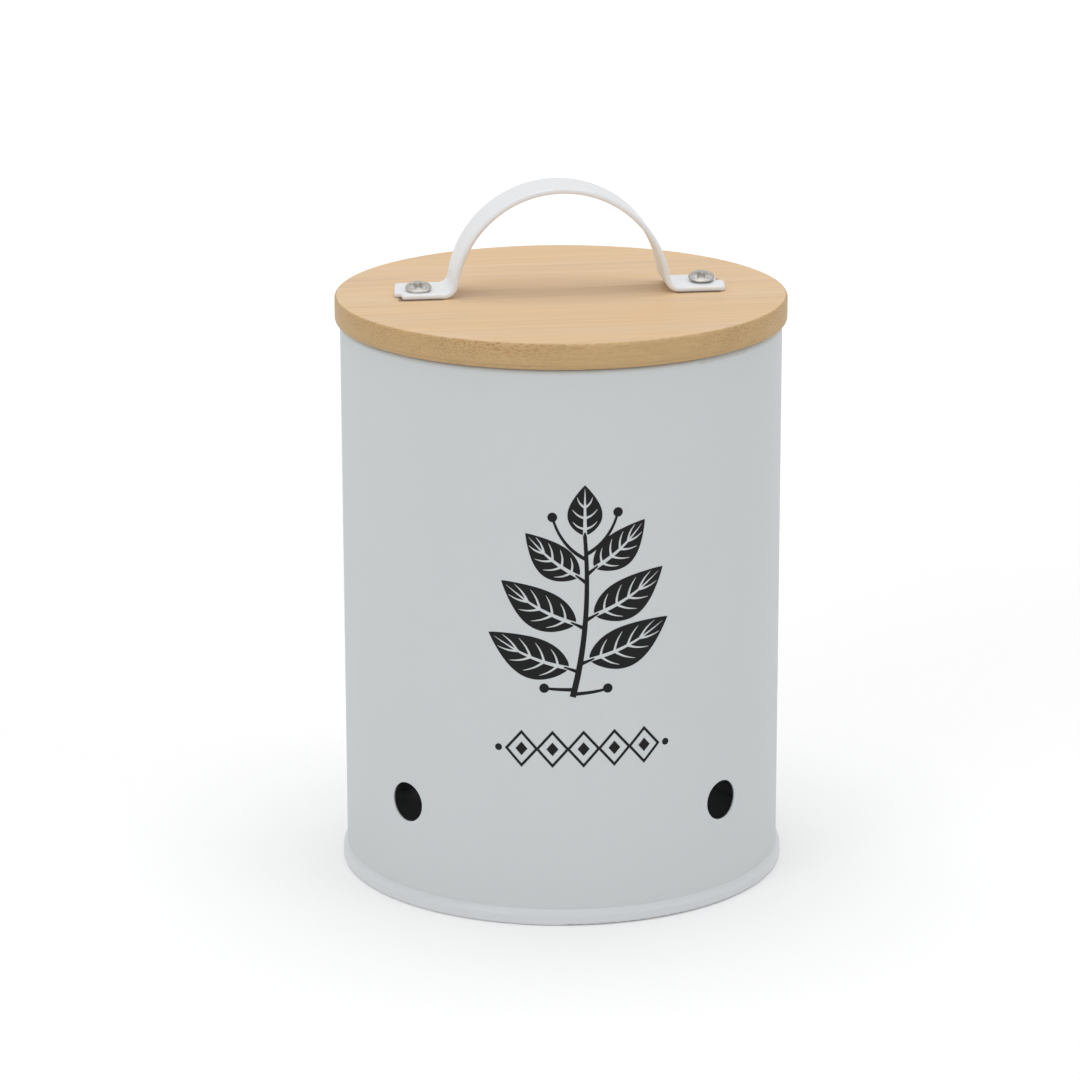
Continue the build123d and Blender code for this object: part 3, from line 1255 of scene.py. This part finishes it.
@dataclass
class Sprig:
    """A stem with pairs of broad veined leaves, a leaf at its tip and small buds between them."""

    stem_foot: Point = (-2.6, -26.0)
    stem_bend: Point = (2.0, -8.0)
    stem_tip: Point = (0.3, 13.2)
    stem_width: Point = (1.5, 0.9)
    leaf_stalk: Point = (1.0, 0.35)
    leaf_foot: float = 0.06
    bud_stalk: Point = (0.9, 0.55)
    bud_corner: Point = (0.75, 0.3)
    bud_radius: float = 1.15
    bud_steps: int = 10
    stem_steps: int = 24
    leaves: tuple[Leaf, ...] = (
        Leaf(0.17, 67, 21.0, 10.6),
        Leaf(0.22, -65, 21.5, 10.6),
        Leaf(0.45, 60, 20.5, 10.2),
        Leaf(0.50, -58, 20.0, 10.2),
        Leaf(0.73, 50, 16.5, 9.0),
        Leaf(0.78, -48, 16.5, 9.0),
        Leaf(1.00, 0, 12.2, 8.6, stalk=0.4, vein_pairs=3),
    )
    # where on the stem, sideways and upwards reach of the bud's stalk
    buds: tuple[tuple[float, float, float], ...] = (
        (0.02, 8.2, 1.2),
        (0.05, -7.2, 0.4),
        (0.90, 7.6, 10.0),
        (0.87, -8.0, 10.4),
    )

    def stem_point(self, share: float) -> Point:
        """Point on the stem's curve, from 0 at its foot to 1 at its tip."""
        return bend_point(self.stem_foot, self.stem_bend, self.stem_tip, share)

    def band(self, points: Sequence[Point], start_width: float, end_width: float) -> Outline:
        """Outline of a line that changes its width evenly.

        Args:
            points: the line's middle.
            start_width: its width at the first point.
            end_width: its width at the last point.

        Returns:
            The line's outline.
        """
        left, right = [], []
        last = len(points) - 1
        for number, point in enumerate(points):
            before, after = points[max(number - 1, 0)], points[min(number + 1, last)]
            run = (Vector(after) - Vector(before)).normalized()
            half = (start_width + (end_width - start_width) * number / last) / 2
            left.append((point[0] - run.y * half, point[1] + run.x * half))
            right.append((point[0] + run.y * half, point[1] - run.x * half))
        return left + right[::-1]

    def patches(self) -> list[Patch]:
        """Draws the whole sprig, its veins left bare.

        Returns:
            The patches, the last one on top.
        """
        made = []
        for leaf in self.leaves:
            place = (leaf.angle_deg, self.stem_point(leaf.stem_share))
            stalk = self.band([(0.0, 0.0), leaf.midrib(self.leaf_foot)], *self.leaf_stalk)
            made.append(Patch(turned(leaf.blade(), *place)))
            made += [Patch(turned(vein, *place), inked=False) for vein in leaf.veins()]
            made.append(Patch(turned(stalk, *place)))
        for share, reach, rise in self.buds:
            x, y = self.stem_point(share)
            tip = (x + reach, y + rise)
            corner = (x + reach * self.bud_corner[0], y + rise * self.bud_corner[1])
            stalk = [bend_point((x, y), corner, tip, part) for part in shares(self.bud_steps)]
            made.append(Patch(self.band(stalk, *self.bud_stalk)))
            made.append(Patch(round_dot(tip, self.bud_radius)))
        stem = [self.stem_point(share) for share in shares(self.stem_steps)]
        made.append(Patch(self.band(stem, *self.stem_width)))
        return made


def round_dot(middle: Point, radius: float) -> Outline:
    """Outline of a round dot.

    Args:
        middle: where the dot is.
        radius: half of its width.

    Returns:
        The outline, counter-clockwise.
    """
    x, y = middle
    turns = [number * math.tau / DOT_CORNERS for number in range(DOT_CORNERS)]
    return [(x + radius * math.cos(turn), y + radius * math.sin(turn)) for turn in turns]


@dataclass
class Divider:
    """A plain band of open lozenges side by side, each with a small one inside it."""

    count: int = 5
    lozenge: Point = (8.1, 9.3)
    line: float = 1.25
    heart: Point = (2.9, 3.4)
    end_dot: float = 0.85
    end_gap: float = 0.7
    pitch_overlap: float = 0.55

    def diamond(self, size: Point, middle: float) -> Outline:
        """Lozenge of a given width and height."""
        half_x, half_y = size[0] / 2, size[1] / 2
        return [(middle + half_x, 0.0), (middle, half_y), (middle - half_x, 0.0), (middle, -half_y)]

    def patches(self) -> list[Patch]:
        """Draws the whole band.

        Returns:
            The patches, the last one on top.
        """
        wide, high = self.lozenge
        pitch = wide - self.line * self.pitch_overlap
        first = -pitch * (self.count - 1) / 2
        slant = math.hypot(wide, high)
        inner = (wide - self.line * slant / high, high - self.line * slant / wide)
        middles = [first + number * pitch for number in range(self.count)]
        made = []
        for size, inked in ((self.lozenge, True), (inner, False), (self.heart, True)):
            made += [Patch(self.diamond(size, middle), inked) for middle in middles]
        reach = wide / 2 - first + self.end_dot + self.end_gap
        made += [Patch(round_dot((side * reach, 0.0), self.end_dot)) for side in (-1, 1)]
        return made


@dataclass
class Decoration:
    """The print on the tin's front: a sprig with a divider below it."""

    sprig: Sprig = field(default_factory=Sprig)
    divider: Divider = field(default_factory=Divider)
    ink: SprayedPaint = PRINT_INK
    sprig_mm: float = 83.35
    divider_mm: float = 44.35
    turn_deg: float = 4.6

    def build(self, effects: Effects) -> None:
        """Makes both films of ink.

        Args:
            effects: the shared node groups.
        """
        material = self.ink.material(effects)
        sprig, divider = self.sprig.patches(), self.divider.patches()
        WallPrint("print_sprig", sprig, self.sprig_mm, self.turn_deg).build(material)
        WallPrint("print_divider", divider, self.divider_mm, self.turn_deg).build(material)


@dataclass
class Lid:
    """The bamboo board, the plug under it and the seal round the plug."""

    board: OiledBamboo = BOARD_BAMBOO
    plug: OiledBamboo = PLUG_BAMBOO
    seal: MilkySilicone = SEAL_SILICONE

    def build(self, effects: Effects) -> None:
        """Dresses the three nodes, which keep their own shapes.

        Args:
            effects: the shared node groups.
        """
        dress("lid_board", self.board.material(effects))
        dress("lid_plug", self.plug.material(effects))
        dress("lid_seal", self.seal.material(effects))


class Tone(IntEnum):
    """Finishes on one screw, in the order of its material slots: plain zinc, darker zinc for painted
    shade and light zinc for a painted highlight.
    """

    PLAIN = 0
    PAINTED_SHADE = 1
    PAINTED_HIGHLIGHT = 2


@dataclass
class PanScrew:
    """A cross-recess screw with a rounded pan head that sits a little out of true.

    Its sizes are millimetres, and its slopes are depth over distance.
    """

    node: str
    recess_turn_deg: float
    lean_deg: float
    lift_mm: float
    head_radius: float = 3.15
    head_height: float = 1.06
    crown_radius: float = 13.0
    shoulder: float = 0.36
    seat_radius: float = 2.75
    recess_span: float = 4.5
    recess_slot: float = 1.45
    recess_depth: float = 1.0
    recess_end_slope: float = 1.6
    recess_side_slope: float = 2.3
    edge_wear: float = 0.12
    # recess faces deeper than dull_depth get painted shade or a painted highlight; faces under the
    # head below dull_height get painted shade
    dull_depth: float = 0.16
    dull_height: float = 0.3
    facing: float = 0.4
    core_half: float = 0.8
    patch_half: float = 2.2
    neck_drop: float = 0.35
    rows_per_turn: int = 6
    under_steps: int = 8
    crease_deg: float = 50.0
    root_radius: float = 1.1
    crest_radius: float = 1.49
    free_length: float = 2.6
    pitch: float = 1.25
    turns: int = 5
    tip_length: float = 1.4
    # lines of the grid over the recess, and rings from it to the head's widest place
    steps: tuple[float, ...] = (
        0.0, 0.11, 0.22, 0.33, 0.44, 0.55, 0.64, 0.72, 0.80,
        0.93, 1.1, 1.3, 1.52, 1.74, 1.92, 2.06, 2.2,
    )
    rings: tuple[float, ...] = (2.45, 2.7, 2.88, 2.97, 3.05, 3.12, 3.17, 3.195)

    @cached_property
    def girdle(self) -> float:
        """Finds how high the head's widest ring is above its seat.

        Returns:
            The height in millimetres.
        """
        run = self.head_radius - self.shoulder
        rise = math.sqrt((self.crown_radius - self.shoulder) ** 2 - run**2)
        return self.head_height - self.crown_radius + rise

    def crown(self, radius: float) -> float:
        """Finds how high the head's round top and shoulder are, without the recess.

        Args:
            radius: distance from the axis.

        Returns:
            The height in millimetres.
        """
        run = self.head_radius - self.shoulder
        if radius <= run * self.crown_radius / (self.crown_radius - self.shoulder):
            rise = math.sqrt(self.crown_radius**2 - radius**2)
            return self.head_height - self.crown_radius + rise
        return self.girdle + math.sqrt(max(self.shoulder**2 - (radius - run) ** 2, 0.0))

    def recess(self, u: float, v: float) -> float:
        """Depth of the recess at a place on the head, with its rim worn round.

        Args:
            u: distance from the axis along one pair of slots.
            v: distance from the axis along the other pair.

        Returns:
            The depth in millimetres.
        """
        def slot(along: float, across: float) -> float:
            """Finds how deep one pair of slots is.

            Args:
                along: distance from the axis along the pair.
                across: distance from it across the pair.

            Returns:
                The depth, which is below 0 outside the slots.
            """
            end = (self.recess_span / 2 - abs(along)) * self.recess_end_slope
            side = (self.recess_slot / 2 - abs(across)) * self.recess_side_slope
            return min(end, side, self.recess_depth)

        raw = max(slot(u, v), slot(v, u))
        excess = self.edge_wear**2 / 4 / max(abs(raw), 1.0)
        return (raw + math.hypot(raw, self.edge_wear)) / 2 - excess

    @cached_property
    def seat(self) -> Vector:
        """Finds where the screw's axis meets the top of the strap.

        Returns:
            The point in millimetres.
        """
        low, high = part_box(self.node)
        strap_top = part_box("lid_board")[1].z / MM + STRAP_THICK_MM
        return Vector(((low.x + high.x) / 2 / MM, (low.y + high.y) / 2 / MM, strap_top))

    def head_point(self, x: float, y: float, z: float) -> Vector:
        """Places a point of the head, which leans towards the front.

        Args:
            x: distance from the axis along one pair of slots.
            y: distance from the axis along the other pair.
            z: height above the seat.

        Returns:
            The place in metres.
        """
        turn = math.radians(self.recess_turn_deg)
        across = x * math.cos(turn) - y * math.sin(turn)
        ahead = x * math.sin(turn) + y * math.cos(turn)
        lean = math.radians(self.lean_deg)
        c, s = math.cos(lean), math.sin(lean)
        leant = Vector((across, ahead * c - z * s, ahead * s + z * c + self.lift_mm))
        return (self.seat + leant) * MM

    def tone(self, face: BMFace) -> Tone:
        """Chooses the finish of a face in the recess.

        Args:
            face: the face.

        Returns:
            Painted shade behind, and in front a painted highlight where it faces ahead or back, else
            plain zinc.
        """
        face.normal_update()
        # painted shade behind the axis; in front, a painted highlight on faces that face ahead or
        # back
        if face.calc_center_median().y / MM > self.seat.y - self.head_height * self.facing:
            return Tone.PAINTED_SHADE
        return Tone.PAINTED_HIGHLIGHT if abs(face.normal.y) > self.facing else Tone.PLAIN

    def grid_point(self, u: float, v: float) -> Vector:
        """Places a corner of the grid on the head, the outer lines rounded to rings.

        Args:
            u: distance from the axis along one pair of slots.
            v: distance from the axis along the other pair.

        Returns:
            The place in metres.
        """
        square, plain = max(abs(u), abs(v)), math.hypot(u, v)
        share = (square - self.core_half) / (self.patch_half - self.core_half)
        share = min(max(share, 0.0), 1.0)
        radius = plain + (square - plain) * share * share * (3 - 2 * share)
        factor = radius / plain if plain else 1.0
        return self.head_point(u * factor, v * factor, self.crown(radius) - self.recess(u, v))

    def top(self, screw: BMesh) -> tuple[list[BMVert], list[float]]:
        """Adds the top of the head with its recess.

        Args:
            screw: the mesh that is built.

        Returns:
            The corners of its round border and their turns about the axis.
        """
        lines = [-step for step in self.steps[:0:-1]] + list(self.steps)
        grid = [[screw.verts.new(self.grid_point(u, v)) for v in lines] for u in lines]
        last = len(lines) - 1
        for i in range(last):
            for j in range(last):
                corners = [grid[i][j], grid[i + 1][j], grid[i + 1][j + 1], grid[i][j + 1]]
                face = screw.faces.new(corners)
                middle = ((lines[i] + lines[i + 1]) / 2, (lines[j] + lines[j + 1]) / 2)
                # deeper recess faces get painted shade or a painted highlight
                if self.recess(*middle) > self.dull_depth:
                    face.material_index = int(self.tone(face))
        border = [(i, 0) for i in range(last)] + [(last, j) for j in range(last)]
        border += [(last - i, last - j) for i, j in border]
        return [grid[i][j] for i, j in border], [math.atan2(lines[j], lines[i]) for i, j in border]

    def mesh(self) -> Mesh:
        """Builds the head, its recess and the threaded shank as one closed mesh.

        Returns:
            The mesh, in the shared frame.
        """
        screw = bmesh.new()
        ring, angles = self.top(screw)
        side = [(radius, self.crown(radius)) for radius in self.rings]
        inset = self.head_radius - self.seat_radius
        under_round = (inset**2 + self.girdle**2) / (2 * inset)
        last_turn = math.asin(self.girdle / under_round)
        for share in shares(self.under_steps):
            turn = last_turn * share
            reach = self.head_radius - under_round * (1 - math.cos(turn))
            side.append((reach, self.girdle - under_round * math.sin(turn)))
        side.append((self.crest_radius, 0.0))
        for radius, height in side:
            after = []
            for angle in angles:
                place = (radius * math.cos(angle), radius * math.sin(angle), height)
                after.append(screw.verts.new(self.head_point(*place)))
            # the underside of the head gets painted shade
            self.join(screw, ring, after, dull=height < self.dull_height)
            ring = after
        self.thread(screw, ring, angles)
        bmesh.ops.recalc_face_normals(screw, faces=screw.faces)
        return new_mesh(f"{self.node}_worn", screw, self.crease_deg)

    def join(
        self, screw: BMesh, ring: list[BMVert], after: list[BMVert], dull: bool = False
    ) -> None:
        """Joins two rings of as many corners with four-sided faces.

        Args:
            screw: the mesh that is built.
            ring: one ring.
            after: the other ring.
            dull: True for faces with the darker zinc that paints shade under the head.
        """
        for number in range(-1, len(ring) - 1):
            corners = [ring[number], ring[number + 1], after[number + 1], after[number]]
            screw.faces.new(corners).material_index = int(dull)

    def thread(self, screw: BMesh, ring: list[BMVert], angles: list[float]) -> None:
        """Adds the shank below the head: a plain neck, a helical thread and a pointed tip.

        Args:
            screw: the mesh that is built.
            ring: the last ring of the head, at the shank.
            angles: the turn of each corner of a ring.
        """
        def corner(x: float, y: float, z: float) -> BMVert:
            """Adds a corner at a place from the seat, in millimetres."""
            return screw.verts.new((self.seat + Vector((x, y, z))) * MM)

        down = self.turns * self.pitch
        rows = self.turns * self.rows_per_turn
        levels = [-self.neck_drop] + [-self.free_length - down * share for share in shares(rows)]
        for level in levels:
            after = []
            for angle in angles:
                turns = (-level - self.free_length) / self.pitch
                ridge = abs((turns - angle / math.tau) % 1.0 * 2 - 1) * min(max(turns, 0.0), 1.0)
                radius = self.root_radius + (self.crest_radius - self.root_radius) * ridge
                after.append(corner(radius * math.cos(angle), radius * math.sin(angle), level))
            self.join(screw, ring, after)
            ring = after
        tip = corner(0.0, 0.0, levels[-1] - self.tip_length)
        for number in range(-1, len(ring) - 1):
            screw.faces.new([ring[number], ring[number + 1], tip])

    def build(self, finishes: Sequence[Material]) -> None:
        """Puts the screw in the place of its node.

        Args:
            finishes: one for each Tone, in their order.
        """
        plain, *others = finishes
        piece = add_piece(f"{self.node}_worn", self.mesh(), plain, "lid")
        for finish in others:
            piece.data.materials.append(finish)
        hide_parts(self.node)


@dataclass
class Handle:
    """The painted strap and its two screws."""

    paint: SprayedPaint = STRAP_PAINT
    zinc: tuple[ZincPlate, ...] = (SCREW_ZINC, SHADE_ZINC, HIGHLIGHT_ZINC)
    # how far in front of the right screw's axis the painted shadow lies
    shadow_ahead_mm: float = 1.9
    screws: tuple[PanScrew, ...] = (
        PanScrew("handle_screw_left", recess_turn_deg=49.0, lean_deg=13.0, lift_mm=0.45),
        PanScrew("handle_screw_right", recess_turn_deg=41.0, lean_deg=14.0, lift_mm=0.58),
    )

    def build(self, effects: Effects) -> None:
        """Dresses the strap, which keeps its own shape, and makes both screws.

        Args:
            effects: the shared node groups.
        """
        # painted shadow on the strap, just in front of the right screw's head
        painted_shadow = self.screws[-1].seat + Vector((0.0, -self.shadow_ahead_mm, 0.0))
        dress("handle", replace(self.paint, painted_shadow=tuple(painted_shadow)).material(effects))
        zinc = [plate.material(effects) for plate in self.zinc]
        for screw in self.screws:
            screw.build(zinc)


# ---- Studio ----


@dataclass
class SoftBox:
    """A square soft light that looks at the object."""

    name: str
    place: Triple
    size: float
    power: float
    target: Triple = (0.0, 0.0, 0.08)

    def build(self) -> None:
        """Makes the light."""
        lamp = bpy.data.lights.new(self.name, "AREA")
        lamp.shape = "SQUARE"
        lamp.size = self.size
        lamp.energy = self.power
        box = bpy.data.objects.new(self.name, lamp)
        box.location = self.place
        aim = Vector(self.target) - Vector(self.place)
        box.rotation_euler = aim.to_track_quat("-Z", "Y").to_euler()
        bpy.context.scene.collection.objects.link(box)
        log.info("%s: %.2f W, %.2f m square", self.name, self.power, self.size)


@dataclass
class StudioCamera:
    """The camera, given by where it is and how it is turned."""

    distance: float = 1.0745
    elevation: float = 0.2859
    middle_height: float = 0.07185
    azimuth_deg: float = -1.0
    pitch: float = 0.278
    yaw: float = -0.0051
    roll: float = -0.0027
    sensor_mm: float = 36.0
    focal_px: float = 4343.9
    frame_px: int = 1080
    clip: Point = (0.05, 50.0)

    def build(self) -> None:
        """Makes the camera and gives it to the scene."""
        level = math.cos(self.pitch)
        aim = (math.sin(self.yaw) * level, math.cos(self.yaw) * level, -math.sin(self.pitch))
        look = Vector(aim)
        right = look.cross(Vector((0, 0, 1))).normalized()
        up = right.cross(look)
        c, s = math.cos(self.roll), math.sin(self.roll)
        across = right * c + up * s
        upright = up * c - right * s
        turn = Matrix((across, upright, -look)).transposed().to_4x4()
        away = -self.distance * math.cos(self.elevation)
        above = self.middle_height + self.distance * math.sin(self.elevation)
        data = bpy.data.cameras.new("studio_camera")
        data.sensor_width = self.sensor_mm
        data.lens = self.focal_px / self.frame_px * self.sensor_mm
        data.clip_start, data.clip_end = self.clip
        camera = bpy.data.objects.new("studio_camera", data)
        swing = Matrix.Rotation(math.radians(self.azimuth_deg), 4, "Z")
        camera.matrix_world = swing @ Matrix.Translation((0, away, above)) @ turn
        bpy.context.scene.collection.objects.link(camera)
        bpy.context.scene.camera = camera
        log.info("studio_camera: lens %.1f mm", data.lens)


@dataclass
class Studio:
    """Pale floor, soft light and camera."""

    ambient: float = 0.78
    floor_half: float = 9.0
    floor_colour: Triple = (0.95, 0.95, 0.95)
    near_lift: float = 0.06
    far_lift: float = 0.40
    lift_from: float = 0.15
    lift_to: float = 1.3
    tooth_per_metre: float = 300.0
    tooth_mm: float = 0.05
    tooth_share: float = 0.2
    sky_band: Point = (0.1, 0.95)
    sky_drop: float = 0.25
    boxes: tuple[SoftBox, ...] = (
        SoftBox("softbox_top", (0.0, 0.06, 1.25), 0.85, 5.4),
        SoftBox("softbox_left", (-1.0, -1.25, 0.75), 0.8, 3.0),
        SoftBox("softbox_right", (1.4, -0.7, 0.6), 0.8, 1.6),
    )

    def floor(self) -> None:
        """Makes the floor, which is white to the camera and in reflections.

        The lift that makes it white is small near the object, so that the object's shadow stays,
        and grows away from it, where the lamps no longer reach.
        """
        material, graph = new_material("floor_white")
        place = graph.node("ShaderNodeTexCoord").outputs["Object"]
        tooth = graph.noise(graph.scaled(place, self.tooth_per_metre), detail=3.0)
        rays = graph.node("ShaderNodeLightPath").outputs
        seen = graph.maths("MAXIMUM", rays["Is Camera Ray"], rays["Is Glossy Ray"])
        far = graph.step(graph.length(place), self.lift_from, self.lift_to)
        lift = graph.linear(far, self.far_lift - self.near_lift, self.near_lift)
        inputs = {
            "Base Color": graph.mixed(seen, self.floor_colour, WHITE),
            "Roughness": 0.9,
            "Emission Color": graph.scaled(WHITE, graph.times(lift, seen)),
            "Emission Strength": 1.0,
            "Specular IOR Level": 0.0,
            "Normal": graph.bump(tooth, self.tooth_mm, self.tooth_share),
        }
        end_surface(graph, inputs)
        mesh = bpy.data.meshes.new("floor")
        half = self.floor_half
        corners = [(x * half, y * half, 0) for x, y in ((-1, -1), (1, -1), (1, 1), (-1, 1))]
        mesh.from_pydata(corners, [], [(0, 1, 2, 3)])
        mesh.materials.append(material)
        floor = bpy.data.objects.new("floor", mesh)
        bpy.context.scene.collection.objects.link(floor)

    def sky(self) -> None:
        """Lights the scene from all round, a little less from above, and shows white behind it."""
        world = bpy.data.worlds.new("studio")
        world.use_nodes = True
        graph = Graph(world.node_tree)
        direction = graph.node("ShaderNodeTexCoord").outputs["Generated"]
        fall = graph.step(graph.parts(direction)[2], *self.sky_band)
        level = graph.linear(fall, -self.sky_drop, self.ambient)
        camera_ray = graph.node("ShaderNodeLightPath").outputs["Is Camera Ray"]
        strength = graph.maths("MAXIMUM", level, camera_ray)
        background = graph.node("ShaderNodeBackground", {"Color": WHITE, "Strength": strength})
        graph.node("ShaderNodeOutputWorld", {"Surface": background.outputs[0]})
        bpy.context.scene.world = world

    def build(self) -> None:
        """Makes the whole studio."""
        self.floor()
        self.sky()
        for box in self.boxes:
            box.build()
        StudioCamera().build()
        bpy.context.scene.view_settings.view_transform = "Standard"


def main() -> None:
    """Builds every sub-assembly in order, then the studio."""
    logging.basicConfig(level=logging.INFO, format="%(name)s: %(message)s")
    effects = Effects()
    Tin().build(effects)
    Decoration().build(effects)
    Lid().build(effects)
    Handle().build(effects)
    Studio().build()


if __name__ == "__main__":
    main()
